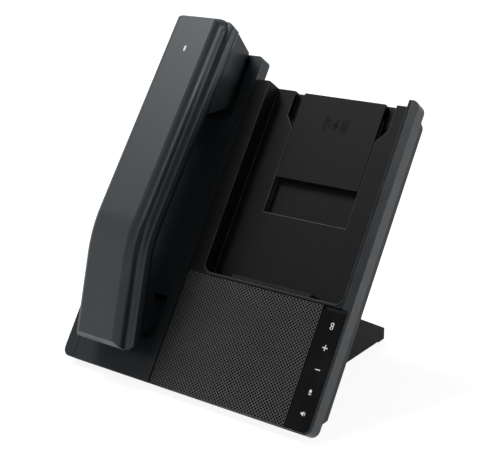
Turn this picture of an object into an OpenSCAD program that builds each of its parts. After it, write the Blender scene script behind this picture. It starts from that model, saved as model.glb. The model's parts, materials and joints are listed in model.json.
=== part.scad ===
// Desktop dock with a cordless telephone handset, a speakerphone and a phone charging tray.
// Millimetres. +Z is up, +X is to the user's right, +Y points away from the user.
// The origin lies on the table, in the middle of the front rubber foot.
// Dock parts are drawn on the leaning slab: x across, y up the slab, z out of its front face.

/* [Dock body] */
// Lean of the front face above the table, in degrees
lean = 56; // [48:1:62]
// Length of the dock body up the slab
dock_l = 196; // [163:1:236]
// Thickness of the dock body at its visible edge
edge_t = 9.2; // [8.6:0.1:11]
// Depth from the front face to the rear cover's outer face
dock_d = 21; // [20.5:0.5:28]
// Radius of the dock's outer corners
corner_r = 5.5; // [2:0.5:8]
// Wall thickness of the dock mouldings
wall = 2.2; // [1.6:0.1:2.4]
// Thickness of the front shell's plate under the trim
plate_t = 4.4; // [4:0.1:5]
// Distance from the dock's edge to the rear cover
cover_inset = 4; // [3:0.5:6]

/* [Handset cradle] */
// Width of the trim strip left of the cradle panel
strip_w = 8.4; // [7:0.1:14]
// Width of the cradle panel
cradle_w = 61; // [58:0.5:74]
// Thickness of the cradle panel
panel_t = 2.4; // [2:0.1:2.6]
// Depth of the two cradle pockets
pocket_d = 4.2; // [3.8:0.1:4.6]
// Width of the earpiece pocket
ear_pocket_w = 42.8; // [42:0.2:46]
// Width of the mouthpiece pocket
mouth_pocket_w = 46.8; // [44:0.2:50]

/* [Phone tray] */
// Width of the rib between the cradle panel and the tray
rib_w = 10.2; // [8:0.1:16]
// Clear width of the phone tray
tray_w = 95; // [79:1:114]
// Height of the tray's lower edge up the slab
tray_y = 72.5; // [70:0.5:84]
// Depth of the tray below the front face
tray_d = 11.5; // [9.5:0.1:11.8]
// Width of the rail right of the tray
rail_w = 7.4; // [6.5:0.1:12]
// Radius of the tray's lower corners
tray_r = 5; // [2:0.5:8]
// Width of the sliding charging plate
charger_w = 56.3; // [50:0.1:60]
// Length of the sliding charging plate
charger_l = 54.8; // [48:0.1:60]
// Travel of the charging plate down the tray
charger_travel = 22.5; // [10:0.5:24]
// Clearance round the charging plate
slide_gap = 0.35; // [0.3:0.05:0.5]
// Width of the rubber strip that the phone stands on
rest_pad_w = 54.8; // [40:0.2:70]

/* [Speaker and keys] */
// Height of the speaker grille
grille_h = 69.5; // [66:0.5:70]
// Width of the touch strip
touch_w = 15; // [12:0.5:18]
// Spacing of the five touch symbols
icon_pitch = 12.4; // [10:0.1:12.6]
// Radius of the loudspeaker's flange
speaker_r = 30; // [20:0.5:31]

/* [Handset] */
// Length of the handset
handset_l = 206; // [172:1:232]
// Distance from the dock's lower edge to the handset's lower end
handset_y = 13; // [10:0.5:15]
// Full width of the handset
handset_w = 41.2; // [40:0.2:44]
// Height of the handset's back above the cradle at the bend
handset_h = 43.6; // [42:0.2:46]
// Distance from the handset's lower end to its bend
bend_at = 60.3; // [58:0.1:66]
// Radius of the bend along the handset's back
bend_r = 75; // [50:1:90]
// Tilt of the long upper part towards the dock, in degrees
upper_tilt = 2.7; // [2:0.1:3.5]
// Tilt of the short lower part towards the dock, in degrees
lower_tilt = 19.1; // [16:0.1:21]
// Width of the flat back face
face_w = 28.4; // [26:0.2:30]
// Depth of the outer shell down to the joint line
seam_d = 15.2; // [14.5:0.1:16]
// Depth of the grip through both shells
grip_d = 21.5; // [21:0.1:23]
// Wall thickness of the handset shells
shell_t = 1.8; // [1.4:0.1:2]

/* [Stand] */
// Width of the stand
stand_w = 110.4; // [90:1:120]
// Distance from the front foot to the stand's rear end
stand_reach = 127; // [118:1:140]
// Height of the stand's rear end
stand_end_h = 9.3; // [8:0.1:14]
// Height up the slab at which the stand's top edge meets the rear cover
stand_top = 74; // [70:1:90]
// Depth of the slanted band along the stand's side
band_d = 10.2; // [8:0.1:12]
// Travel that unhooks the stand
unhook = 5; // [4:0.5:6]
// Thickness of the stand's rubber pads
pad_t = 1.6; // [1:0.1:2.5]

/* [Hidden] */
$fn = 48;

// Colours
slate = [0.27, 0.29, 0.30];
dark = [0.14, 0.15, 0.16];
black = [0.06, 0.06, 0.065];
rubber = [0.09, 0.09, 0.09];
metal = [0.62, 0.62, 0.64];
gold = [0.83, 0.66, 0.3];
board_green = [0.05, 0.27, 0.16];
white = [0.92, 0.93, 0.94];

// Clearances
trim_gap = 0.2;   // between trim pieces that drop into a recess
seat_gap = 0.1;   // between flat faces that rest on each other
hook_gap = 0.3;   // between the stand and the rear cover
pin_gap = 0.05;   // radial, round a sliding contact pin
key_gap = 0.25;   // radial, round a key
contact_gap = 0.3; // between the contact pins and the handset's contacts
eps = 0.01;

// Places across the slab
dock_w = strip_w + cradle_w + rib_w + tray_w + rail_w;
x_left = -dock_w / 2;
x_right = dock_w / 2;
cradle_x0 = x_left + strip_w;
cradle_x1 = cradle_x0 + cradle_w;
cradle_x = (cradle_x0 + cradle_x1) / 2;
tray_x0 = cradle_x1 + rib_w;
tray_x1 = tray_x0 + tray_w;
tray_x = (tray_x0 + tray_x1) / 2;
cradle_top = handset_y + handset_l - 8.2;
tray_wall = 1.5;

// Where the slab's lower front edge lies in the part's frame
foot_t = 3.8;
foot_d = 10;
under_len = (dock_d - edge_t) / sin(lean);
under_mid = cover_inset * cos(lean) + edge_t * sin(lean) + under_len / 2;
slab_y = -under_mid;
slab_z = foot_t - (cover_inset * sin(lean) - edge_t * cos(lean));

// Point of the part's frame (Y, Z) for a point (y, z) of the slab
function slab_point(y, z) = [slab_y + y * cos(lean) - z * sin(lean),
    slab_z + y * sin(lean) + z * cos(lean)];

module on_slab() translate([0, slab_y, slab_z]) rotate([lean, 0, 0]) children();

// Outline whose points are [x, y, corner radius]; round corners become arcs
function unit(v) = v / norm(v);
function turn(a) = a > 180 ? a - 360 : a < -180 ? a + 360 : a;
function corner(p, q, s, r, steps) =
    let (a = unit(p - q), b = unit(s - q), half = acos(a * b) / 2,
        c = q + unit(a + b) * r / sin(half), u = q + a * r / tan(half) - c,
        v = q + b * r / tan(half) - c, a0 = atan2(u[1], u[0]),
        sweep = turn(atan2(v[1], v[0]) - a0))
    [for (i = [0:steps]) c + r * [cos(a0 + sweep * i / steps), sin(a0 + sweep * i / steps)]];
function outline(pts, steps = 6) = let (n = len(pts), xy = [for (p = pts) [p[0], p[1]]])
    [for (i = [0:n - 1]) each pts[i][2] == 0 ? [xy[i]]
        : corner(xy[(i + n - 1) % n], xy[i], xy[(i + 1) % n], pts[i][2], steps)];

// Box between two opposite corners
module span(a, b) translate(a) cube(b - a);
// Rounded plate from z0 to z1
module plate(x0, x1, y0, y1, z0, z1, r) translate([0, 0, z0]) linear_extrude(z1 - z0)
    polygon(outline([[x0, y0, r], [x1, y0, r], [x1, y1, r], [x0, y1, r]]));
// Side view (y, z) drawn out from x0 to x1
module side_view(x0, x1, pts) translate([x0, 0, 0]) rotate([90, 0, 90])
    linear_extrude(x1 - x0) polygon(outline(pts));
// Bar with round ends, standing along z
module bar(length, r, z0, z1) {
    for (s = [-1, 1]) translate([0, s * (length / 2 - r), z0]) cylinder(r = r, h = z1 - z0);
    span([-r, -(length / 2 - r), z0], [r, length / 2 - r, z1]);
}
module ring(r1, r0, z0, z1) translate([0, 0, z0]) difference() {
    cylinder(r = r1, h = z1 - z0);
    translate([0, 0, -1]) cylinder(r = r0, h = z1 - z0 + 2);
}

// ---- dock body ----

ear_y0 = handset_y + handset_l - 53.5;
ear_y1 = cradle_top - 2.3;
mouth_y0 = handset_y + 11;
mouth_y1 = handset_y + 39;
pocket_wall = 1.4;
ear_boss_l = 28;
ear_boss_y = (ear_y0 + ear_y1) / 2 + 5.5;
contact_y = handset_y + 23.2;
contact_x = 6;
block_w = 20;
block_l = 7;
touch_x1 = x_right - 2;
touch_x0 = touch_x1 - touch_w;
grille_x0 = cradle_x1 + 0.5;
grille_x1 = touch_x0 - 0.5;
grille_y0 = 1;
grille_y1 = min(grille_y0 + grille_h, tray_y - 1.9);
touch_y1 = grille_y1 - 1.9;
grille_t = 1.2;
touch_t = 2;
speaker_x = (grille_x0 + grille_x1) / 2;
speaker_y = (grille_y0 + grille_y1) / 2;
speaker_in = speaker_r - 4;
mic_x = [grille_x0 + 6, grille_x1 - 5];
cover_t = 2;
cover_in = -dock_d + cover_t;
shell_posts = [[cradle_x0 + 4.6, 24], [cradle_x0 + 4.6, dock_l - 16], [touch_x0 - 9.5, 17]];
tray_post = [tray_x1 - 5.6, tray_y + 77.5];
post_r = 3.4;
screw_r = 1.25;
pilot_r = 1.3;
head_r = 2.5;
head_t = 1.6;
board_z = -11.6;
board_t = 1.6;
board_x = [cradle_x0 + 2.6, cradle_x1 - 6.4];
board_y = [handset_y + 44, min(handset_y + 146, dock_l - 37, ear_y0 - 6.5)];
board_holes = [for (x = [board_x[0] + 4, board_x[1] - 4], y = [board_y[0] + 5, board_y[1] - 5]) [x, y]];

module front_shell() color(slate) on_slab() {
    difference() {
        union() {
            difference() {
                plate(x_left, x_right, 0, dock_l, -edge_t, 0, corner_r);
                plate(x_left + wall, x_right - wall, wall, dock_l - wall,
                    -edge_t - 1, -plate_t, corner_r - wall);
            }
            for (p = shell_posts) translate([p[0], p[1], cover_in + seat_gap])
                cylinder(r = post_r, h = -cover_in - plate_t + eps);
            for (p = board_holes) translate([p[0], p[1], board_z + board_t])
                cylinder(r = 2.6, h = -board_z - board_t - plate_t + eps);
        }
        span([cradle_x0, -1, -panel_t - seat_gap], [cradle_x1, dock_l + 1, 1]);
        span([cradle_x1 - eps, tray_y - 2, -panel_t - seat_gap], [tray_x1, dock_l + 1, 1]);
        for (p = [[ear_pocket_w, ear_y0, dock_l + 1], [mouth_pocket_w, mouth_y0, mouth_y1]])
            span([cradle_x - p[0] / 2 - pocket_wall - trim_gap, p[1] - pocket_wall - trim_gap, -edge_t + 3],
                [cradle_x + p[0] / 2 + pocket_wall + trim_gap, p[2] + pocket_wall + trim_gap, 1]);
        span([tray_x0 - tray_wall - trim_gap, tray_y - tray_wall - trim_gap, -edge_t - 1],
            [tray_x1 + tray_wall + trim_gap, dock_l + 1, 1]);
        span([grille_x0 - trim_gap, grille_y0 - trim_gap, -grille_t - seat_gap],
            [grille_x1 + trim_gap, grille_y1 + trim_gap, 1]);
        span([touch_x0 - trim_gap, grille_y0 - trim_gap, -touch_t - seat_gap],
            [touch_x1 + trim_gap, touch_y1 + trim_gap, 1]);
        translate([speaker_x, speaker_y, -edge_t]) cylinder(r = speaker_in, h = edge_t);
        for (x = mic_x) translate([x, speaker_y, -edge_t]) cylinder(r = 0.8, h = edge_t);
        for (p = shell_posts) translate([p[0], p[1], cover_in]) cylinder(r = pilot_r, h = 9);
        for (p = board_holes) translate([p[0], p[1], board_z]) cylinder(r = pilot_r, h = 6);
        translate([cradle_x, contact_y, -edge_t]) span([-12, -6, 0], [12, 6, edge_t]);
    }
}

hook_x = stand_w / 2 - 20;
hook_w = 6;
hook_neck = 4;
hook_y = [34, stand_top - 14];
hook_t = 1.8;

// Rear cover outline, with a level underside for the front foot
module cover_form(grow) intersection() {
    plate(x_left + cover_inset - grow, x_right - cover_inset + grow, 0, dock_l - cover_inset + grow,
        -dock_d - grow, -edge_t, corner_r);
    side_view(x_left, x_right, [
        [cover_inset - grow / sin(lean), -edge_t, 0],
        [cover_inset - grow / sin(lean) + (dock_d - edge_t + grow) / tan(lean), -dock_d - grow, 0],
        [dock_l - cover_inset - 5 + grow, -dock_d - grow, 3],
        [dock_l - cover_inset + grow, -dock_d + 6, 0], [dock_l - cover_inset + grow, -edge_t, 0]]);
}

module cover_hollow() intersection() {
    cover_form(-cover_t);
    span([x_left, 0, cover_in], [x_right, dock_l, -edge_t]);
}

inlet_x = x_left + 21;
inlet_y = handset_y + 62;
inlet_w = 9.2;
inlet_h = 3.6;

module rear_cover() color(dark) on_slab() difference() {
    difference() {
        cover_form(0);
        cover_hollow();
    }
    for (p = concat(shell_posts, [tray_post])) translate([p[0], p[1], -dock_d - 1]) {
        cylinder(r = screw_r + 0.25, h = 4);
        cylinder(r = head_r + 0.2, h = 1 + 1.2);
    }
    for (s = [-1, 1], y = hook_y)
        span([s * hook_x - hook_w / 2 - hook_gap, y - unhook - hook_gap, -dock_d - 1],
            [s * hook_x + hook_w / 2 + hook_gap, y + hook_neck + hook_gap, cover_in + 1]);
    span([inlet_x - inlet_w / 2 - 0.3, inlet_y - inlet_h / 2 - 0.3, -dock_d - 1],
        [inlet_x + inlet_w / 2 + 0.3, inlet_y + inlet_h / 2 + 0.3, cover_in + 1]);
    tray_bed(trim_gap);
}

// Cradle panel, with a raised head behind the dock's upper edge
module cradle_panel() color(slate) on_slab() difference() {
    union() {
        translate([0, 0, -panel_t]) linear_extrude(panel_t) polygon(outline([
            [cradle_x0 + trim_gap, trim_gap, 0], [cradle_x1 - trim_gap, trim_gap, 0],
            [cradle_x1 - trim_gap, cradle_top, 2.4], [cradle_x0 + trim_gap, cradle_top, 2.4]]));
        plate(cradle_x0 + trim_gap, cradle_x1 - trim_gap, dock_l + trim_gap, cradle_top,
            -edge_t, -panel_t + eps, 1.2);
        for (p = [[ear_pocket_w, ear_y0, ear_y1], [mouth_pocket_w, mouth_y0, mouth_y1]])
            span([cradle_x - p[0] / 2 - pocket_wall, p[1] - pocket_wall, -pocket_d - pocket_wall],
                [cradle_x + p[0] / 2 + pocket_wall, p[2] + pocket_wall, -eps]);
    }
    span([cradle_x0 + 2, dock_l + 2, -edge_t + 1.8],
        [cradle_x1 - 2, cradle_top - 2, -pocket_d - pocket_wall]);
    side_view(cradle_x - ear_pocket_w / 2, cradle_x + ear_pocket_w / 2, [
        [ear_y0, 1, 0], [ear_y0, 0, 0], [ear_y0 + 7, -pocket_d, 5], [ear_y1, -pocket_d, 1.5], [ear_y1, 1, 0]]);
    side_view(cradle_x - mouth_pocket_w / 2, cradle_x + mouth_pocket_w / 2, [
        [mouth_y0, 1, 0], [mouth_y0, 0, 0], [mouth_y0 + 5, -pocket_d, 4],
        [mouth_y1 - 2.5, -pocket_d, 2], [mouth_y1, 0, 0], [mouth_y1, 1, 0]]);
    translate([cradle_x, contact_y, 0]) span([-block_w / 2 - 0.1, -block_l / 2 - 0.1, -12],
        [block_w / 2 + 0.1, block_l / 2 + 0.1, 1]);
}

charger_y1 = dock_l - 0.6;
charger_y0 = charger_y1 - charger_l;
track_y = charger_y0 - charger_travel - slide_gap;
track_w = charger_w + 2 * slide_gap;
track_d = 4.5;
tongue = 1.2;
tray_floor = 1.6;
track_floor = 1.4;
notch_w = 7.9;
notch_l = 16.5;
rest_pad_t = 2.4;

// Outer form of the tray's tub and of the track under it, grown by g
module tray_bed(g) {
    span([tray_x0 - tray_wall - g, tray_y - tray_wall - g, -tray_d - tray_floor - g],
        [tray_x1 + tray_wall + g, dock_l + g, 0]);
    span([tray_x - track_w / 2 - notch_w - g, track_y - 1.5 - g,
        -tray_d - track_d - track_floor - g], [tray_x + track_w / 2 + notch_w + g, dock_l + g, -tray_d]);
}

module phone_tray() color(dark) on_slab() difference() {
    union() {
        tray_bed(0);
        span([cradle_x1 + trim_gap, tray_y - 1.8, -panel_t], [tray_x0, dock_l, 0]);
        span([tray_x0 - tray_wall, tray_y - 1.8, -panel_t], [tray_x1, tray_y, 0]);
        translate([tray_post[0], tray_post[1], cover_in + seat_gap])
            cylinder(r = post_r, h = -cover_in - tray_d - tray_floor);
    }
    translate([0, 0, -tray_d]) linear_extrude(tray_d + 1) polygon(outline([
        [tray_x0, tray_y, tray_r], [tray_x1, tray_y, tray_r], [tray_x1, dock_l + 1, 0],
        [tray_x0, dock_l + 1, 0]]));
    span([tray_x - track_w / 2, track_y, -tray_d - track_d],
        [tray_x + track_w / 2, dock_l + 1, -tray_d + 1]);
    // Grooves for the plate's side tongues
    span([tray_x - track_w / 2 - tongue, track_y, -tray_d - 3.2],
        [tray_x + track_w / 2 + tongue, dock_l - 1.5, -tray_d - 1.4]);
    // Finger notches each side of the plate
    for (s = [-1, 1]) translate([tray_x, 0, -tray_d - track_d]) linear_extrude(track_d + 1)
        polygon([[s * (track_w / 2 - eps), dock_l + 1], [s * (track_w / 2 + notch_w - 1.6), dock_l + 1],
            [s * (track_w / 2 + notch_w - 1.6), dock_l - notch_l],
            [s * (track_w / 2 - eps), dock_l - notch_l - 7.5]]);
    translate([tray_post[0], tray_post[1], cover_in]) cylinder(r = pilot_r, h = 5.5);
}

module phone_rest_pad() color(rubber) on_slab()
    plate(tray_x - rest_pad_w / 2, tray_x + rest_pad_w / 2, tray_y, tray_y + rest_pad_t,
        -tray_d, -1, 0.8);

module speaker_grille() color(black) on_slab()
    span([grille_x0, grille_y0, -grille_t], [grille_x1, grille_y1, 0]);

// Five flat touch symbols: link, plus, minus, microphone and loudspeaker
module icon_link() {
    for (s = [-1, 1]) translate([0, s * 0.95]) difference() {
        circle(r = 1.05);
        circle(r = 0.6);
    }
}
module icon_plus() {
    square([3.2, 0.6], center = true);
    square([0.6, 3.2], center = true);
}
module icon_minus() square([3, 0.6], center = true);
module icon_microphone() {
    translate([0, 0.5]) circle(r = 0.75);
    translate([-0.75, -0.6]) square([1.5, 1.1]);
    translate([-0.25, -1.7]) square([0.5, 0.8]);
    translate([-0.9, -1.75]) square([1.8, 0.4]);
}
module icon_loudspeaker() {
    polygon([[-1.5, -0.6], [-0.7, -0.6], [0.3, -1.5], [0.3, 1.5], [-0.7, 0.6], [-1.5, 0.6]]);
    translate([0.8, -0.9]) square([0.45, 1.8]);
}
icon_x = touch_x1 - 6.4;
icon_rise = 0.7;
icon_y = (grille_y0 + touch_y1) / 2 + icon_rise;
icon_t = 0.3;
module icons() {
    translate([icon_x, icon_y + 2 * icon_pitch]) icon_link();
    translate([icon_x, icon_y + icon_pitch]) icon_plus();
    translate([icon_x, icon_y]) icon_minus();
    translate([icon_x, icon_y - icon_pitch]) icon_microphone();
    translate([icon_x, icon_y - 2 * icon_pitch]) icon_loudspeaker();
}

module touch_strip() color(black) on_slab() difference() {
    translate([0, 0, -touch_t]) linear_extrude(touch_t) polygon(outline([
        [touch_x0, grille_y0, 0], [touch_x1, grille_y0, 3.5], [touch_x1, touch_y1, 0.8],
        [touch_x0, touch_y1, 0.8]]));
    translate([0, 0, -icon_t]) linear_extrude(icon_t + 1) icons();
}

module touch_icons() color(white) on_slab() translate([0, 0, -icon_t]) linear_extrude(icon_t) icons();

module touch_board() color(board_green) on_slab()
    span([touch_x0 - 1, 14, -plate_t - 1.2], [touch_x1 - 1, touch_y1 - 3, -plate_t - 0.2]);

module main_board() color(board_green) on_slab() difference() {
    span([board_x[0], board_y[0], board_z], [board_x[1], board_y[1], board_z + board_t - seat_gap]);
    for (p = board_holes) translate([p[0], p[1], board_z - 1]) cylinder(r = 1.5, h = 4);
}

module screw(length, r, z) translate([0, 0, z]) {
    cylinder(r = r, h = length);
    difference() {
        translate([0, 0, -head_t + 0.4]) cylinder(r = head_r - 0.3, h = head_t - 0.4);
        translate([0, 0, -head_t]) cylinder(r = 1, h = 1, $fn = 6);
    }
}

module board_screws() color(metal) on_slab()
    for (p = board_holes) translate([p[0], p[1], 0]) screw(5.8, screw_r, board_z - seat_gap);

module cover_screws() color(metal) on_slab()
    for (p = concat(shell_posts, [tray_post])) translate([p[0], p[1], 0])
        screw(5, screw_r, -dock_d + 1.2);

module speaker_gasket() color(rubber) on_slab() translate([speaker_x, speaker_y, 0])
    ring(speaker_r, speaker_in, -plate_t - 1, -plate_t);

speaker_z = -plate_t - 1;
magnet_r = speaker_r / 2;
module speaker_frame() color(dark) on_slab() translate([speaker_x, speaker_y, 0]) difference() {
    union() {
        translate([0, 0, speaker_z - 1.2]) cylinder(r = speaker_r, h = 1.2);
        translate([0, 0, speaker_z - 7]) cylinder(r1 = magnet_r + 1, r2 = speaker_in + 1, h = 6);
    }
    translate([0, 0, speaker_z - 5.8]) cylinder(r1 = magnet_r - 0.5, r2 = speaker_in - 0.6, h = 4.6);
    translate([0, 0, speaker_z - 1.2 - eps]) cylinder(r = speaker_in - 0.6, h = 2);
    for (a = [0:60:300]) rotate(a) translate([magnet_r + 5, 0, speaker_z - 12])
        cylinder(r = 3, h = 9);
}

module speaker_cone() color(black) on_slab() translate([speaker_x, speaker_y, 0])
    rotate_extrude() translate([0, speaker_z]) polygon([[0, -5.2], [6, -5.2], [speaker_in - 5, -1.2],
        [speaker_in - 1.2, -0.7], [speaker_in - 1.2, -0.3], [speaker_in - 5, -0.6],
        [5.6, -4.6], [3, -3.6], [0, -3.2]]);

module speaker_magnet() color(metal) on_slab() translate([speaker_x, speaker_y, speaker_z - 11.2])
    cylinder(r = magnet_r, h = 4.2);

module dock_microphones() color(metal) on_slab()
    for (x = mic_x) translate([x, speaker_y, -plate_t - 2.2]) cylinder(r = 2.2, h = 2);

module power_inlet() color(metal) on_slab() translate([inlet_x, inlet_y, 0]) {
    difference() {
        plate(-inlet_w / 2, inlet_w / 2, -inlet_h / 2, inlet_h / 2, -dock_d + 0.2, board_z, 1.4);
        plate(-inlet_w / 2 + 0.4, inlet_w / 2 - 0.4, -inlet_h / 2 + 0.4, inlet_h / 2 - 0.4,
            -dock_d - 1, board_z - 1, 1);
    }
    span([-3.3, -0.35, -dock_d + 1.2], [3.3, 0.35, board_z - 0.5]);
}

module ballast_plate() color(metal) on_slab()
    span([cradle_x0 + 11, 16, cover_in + 0.2], [-hook_x - hook_w / 2 - 2, inlet_y - 6, cover_in + 2.2]);

module cradle_magnet() color(metal) on_slab()
    translate([cradle_x, min(ear_boss_y, dock_l - 12), -pocket_d - pocket_wall - 3.2])
        cylinder(r = 6, h = 3);

module front_foot() color(rubber)
    translate([x_left + 21, -foot_d / 2, 0]) cube([dock_w - 42, foot_d, foot_t]);

pin_r = 0.9;
pin_top = -2.1;
pin_l = 5;
block_top = -2.9;
module charge_pin_block() color(black) on_slab() translate([cradle_x, contact_y, 0]) difference() {
    union() {
        span([-block_w / 2, -block_l / 2, -9], [block_w / 2, block_l / 2, block_top]);
        span([-block_w / 2 - 1.4, -block_l / 2 - 1.4, -9],
            [block_w / 2 + 1.4, block_l / 2 + 1.4, -pocket_d - pocket_wall - seat_gap]);
    }
    for (s = [-1, 1]) translate([s * contact_x, 0, pin_top - pin_l - 1])
        cylinder(r = pin_r + pin_gap, h = pin_l + 3);
}

module charge_pin(side) on_slab() translate([cradle_x + side * contact_x, contact_y, pin_top - pin_l])
    cylinder(r = pin_r, h = pin_l);
module charge_pin_left() color(gold) charge_pin(-1);
module charge_pin_right() color(gold) charge_pin(1);

// ---- sliding charging plate ----

charger_z = -tray_d - 0.1;
cap_t = 1.2;
coil_t = 1.2;
shield_t = 0.6;
base_t = 0.8;
charger_y = (charger_y0 + charger_y1) / 2;
coil_r = min(charger_w, charger_l) / 2 - 6;

module charging_plate() color(dark) on_slab() difference() {
    union() {
        plate(tray_x - charger_w / 2, tray_x + charger_w / 2, charger_y0, charger_y1,
            charger_z - 3.0, charger_z, 0.6);
        span([tray_x - charger_w / 2 - tongue, charger_y0 + 1, charger_z - 2.7],
            [tray_x + charger_w / 2 + tongue, charger_y1 - 10, charger_z - 1.7]);
    }
    span([tray_x - charger_w / 2 + 1.5, charger_y0 + 1.5, charger_z - 4],
        [tray_x + charger_w / 2 - 1.5, charger_y1 - 1.5, charger_z - cap_t]);
    translate([tray_x, charger_y + symbol_up, charger_z - 0.15]) linear_extrude(1) charge_mark();
}

module charging_coil() color([0.7, 0.38, 0.2]) on_slab() translate([tray_x, charger_y, 0])
    ring(coil_r, coil_r * 0.45, charger_z - cap_t - coil_t, charger_z - cap_t - 0.05);

module coil_shield() color(black) on_slab() translate([tray_x, charger_y, 0])
    span([-coil_r - 1, -coil_r - 1, charger_z - cap_t - coil_t - shield_t],
        [coil_r + 1, coil_r + 1, charger_z - cap_t - coil_t - 0.05]);

module plate_base() color(dark) on_slab()
    plate(tray_x - charger_w / 2, tray_x + charger_w / 2, charger_y0, charger_y1,
        charger_z - 3.1 - base_t, charger_z - 3.05, 0.6);

// Spark with three arcs on each side
symbol_up = 10;
module charge_mark() {
    polygon([[1.4, 4.2], [-2.4, -0.5], [-0.3, -0.5], [-1.4, -4.2], [2.4, 0.5], [0.3, 0.5]]);
    for (s = [0, 180], i = [0:2]) rotate(s) intersection() {
        difference() {
            circle(r = 5 + i * 1.7);
            circle(r = 4.4 + i * 1.7);
        }
        polygon([[0, 0], [10, -7.5], [10, 7.5]]);
    }
}
module charge_symbol() color(black) on_slab()
    translate([tray_x, charger_y + symbol_up, charger_z - 0.15]) linear_extrude(0.25) charge_mark();

// ---- handset ----

handset_end = handset_y + handset_l;
half_w = handset_w / 2;
wall_x = half_w - 3.6;
bend_half = bend_r * tan((upper_tilt + lower_tilt) / 2);
bend_y = handset_y + bend_at;
upper_y = bend_y + bend_half * cos(upper_tilt);
upper_z = handset_h - bend_half * sin(upper_tilt);
lower_y = bend_y - bend_half * cos(lower_tilt);
lower_z = handset_h - bend_half * sin(lower_tilt);
upper_l = (handset_end - upper_y) / cos(upper_tilt) + 8;
lower_l = (lower_y - handset_y) / cos(lower_tilt) + 8;

// Slab point at a distance along the upper or lower part and a depth below its back face
function upper_point(s, d) = [upper_y + s * cos(upper_tilt) - d * sin(upper_tilt),
    upper_z - s * sin(upper_tilt) - d * cos(upper_tilt)];
function lower_point(s, d) = [lower_y - s * cos(lower_tilt) + d * sin(lower_tilt),
    lower_z - s * sin(lower_tilt) - d * cos(lower_tilt)];

module on_upper(s, d) on_slab() translate([cradle_x, upper_point(s, d)[0], upper_point(s, d)[1]])
    rotate([-upper_tilt, 0, 0]) children();
module on_lower(s, d) on_slab() translate([cradle_x, lower_point(s, d)[0], lower_point(s, d)[1]])
    rotate([lower_tilt, 0, 0]) children();

// Cross-section (x, depth) carried along the back: upper part, bend and lower part
module along_back() {
    on_upper(0, 0) rotate([-90, 0, 0]) linear_extrude(upper_l) children();
    on_lower(0, 0) translate([0, 0, -bend_r]) rotate([0, -90, 0])
        rotate_extrude(angle = upper_tilt + lower_tilt, $fn = 96)
        translate([bend_r, 0]) rotate(90) children();
    on_lower(lower_l, 0) rotate([-90, 0, 0]) linear_extrude(lower_l) children();
}

// Side view that ends both shells, inset by e
module handset_ends(e) on_slab() side_view(cradle_x - 40, cradle_x + 40, [
    [handset_y + 24.4 + 1.7 * e, -2.4, 0], [handset_y + e, 13.2 + e * 0.2, 2], [handset_y + e, 19, 2],
    [handset_y + 7 + e, 33, 0], [handset_y + 50, 80, 0], [handset_end - 20, 80, 0],
    [handset_end - 5 - e, 42, 0], [handset_end + 0.9 - e, 29, 4],
    [handset_end - 8.4 - e, -2.4, 0]]);

function outer_section() = [
    [-face_w / 2, 0, 1.2], [face_w / 2, 0, 1.2], [wall_x, 3.4, 1.2], [wall_x, 9.8, 2.4],
    [half_w, 10.4, 1.6], [half_w, seam_d, 0], [-half_w, seam_d, 0],
    [-half_w, 10.4, 1.6], [-wall_x, 9.8, 2.4], [-wall_x, 3.4, 1.2]];
function outer_hollow() = let (t = shell_t, x = wall_x - t) [
    [-face_w / 2 + 1, t, 0], [face_w / 2 - 1, t, 0], [x, 4.2, 0], [x, 9.8 + t, 0],
    [half_w - t, 10.4 + t, 0], [half_w - t, seam_d + 1, 0], [-half_w + t, seam_d + 1, 0],
    [-half_w + t, 10.4 + t, 0], [-x, 9.8 + t, 0], [-x, 4.2, 0]];

light_s = handset_end - upper_y - 24.1;
// Straight grip between the bend and the ear block, and what is packed along it
grip_l = handset_l - 134;
battery_l = min(36, grip_l - 29.5);
board_s = [6, light_s + 10];
board_post = 5;
post_s = [board_s[0] + 6, board_s[1] - 5];
screw_s = battery_l + 8;
key_s = [screw_s + 7.5, screw_s + 17.5];
handset_screw_l = 9;

module outer_solid(e) intersection() {
    along_back() polygon(outline(outer_section()));
    handset_ends(e);
}
module handset_outer_shell() color(slate) {
    difference() {
        union() {
            difference() {
                outer_solid(0);
                intersection() {
                    along_back() polygon(outline(outer_hollow()));
                    handset_ends(shell_t);
                }
            }
            for (s = post_s, x = [-9, 9]) on_upper(s, board_post) translate([x, 0, 0])
                cylinder(r = 2, h = board_post - shell_t + eps);
            on_upper(screw_s, grip_d - 3) cylinder(r = 3, h = grip_d - 3 - shell_t + eps);
            on_lower(3, grip_d - 3) cylinder(r = 3, h = grip_d - 3 - shell_t + eps);
        }
        on_upper(light_s, 3) bar(4, 0.75, -1, 4);
        on_upper(screw_s, grip_d) cylinder(r = pilot_r, h = handset_screw_l + 2);
        on_lower(3, grip_d) cylinder(r = pilot_r, h = handset_screw_l + 2);
    }
}

function inner_section() = [[-half_w, seam_d + 0.4, 0], [half_w, seam_d + 0.4, 0],
    [half_w, 18, 1.6], [half_w - 5, grip_d, 2.6], [-half_w + 5, grip_d, 2.6], [-half_w, 18, 1.6]];
function inner_hollow() = let (t = shell_t) [[-half_w + t, seam_d - 1, 0], [half_w - t, seam_d - 1, 0],
    [half_w - t, 17.2, 0], [half_w - 5 - t / 2, grip_d - t, 0], [-half_w + 5 + t / 2, grip_d - t, 0],
    [-half_w + t, 17.2, 0]];
block_half = half_w - 1.4;
ear_z = 1;
mouth_z = 0.4;
seam_in = seam_d + 0.4;

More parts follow.
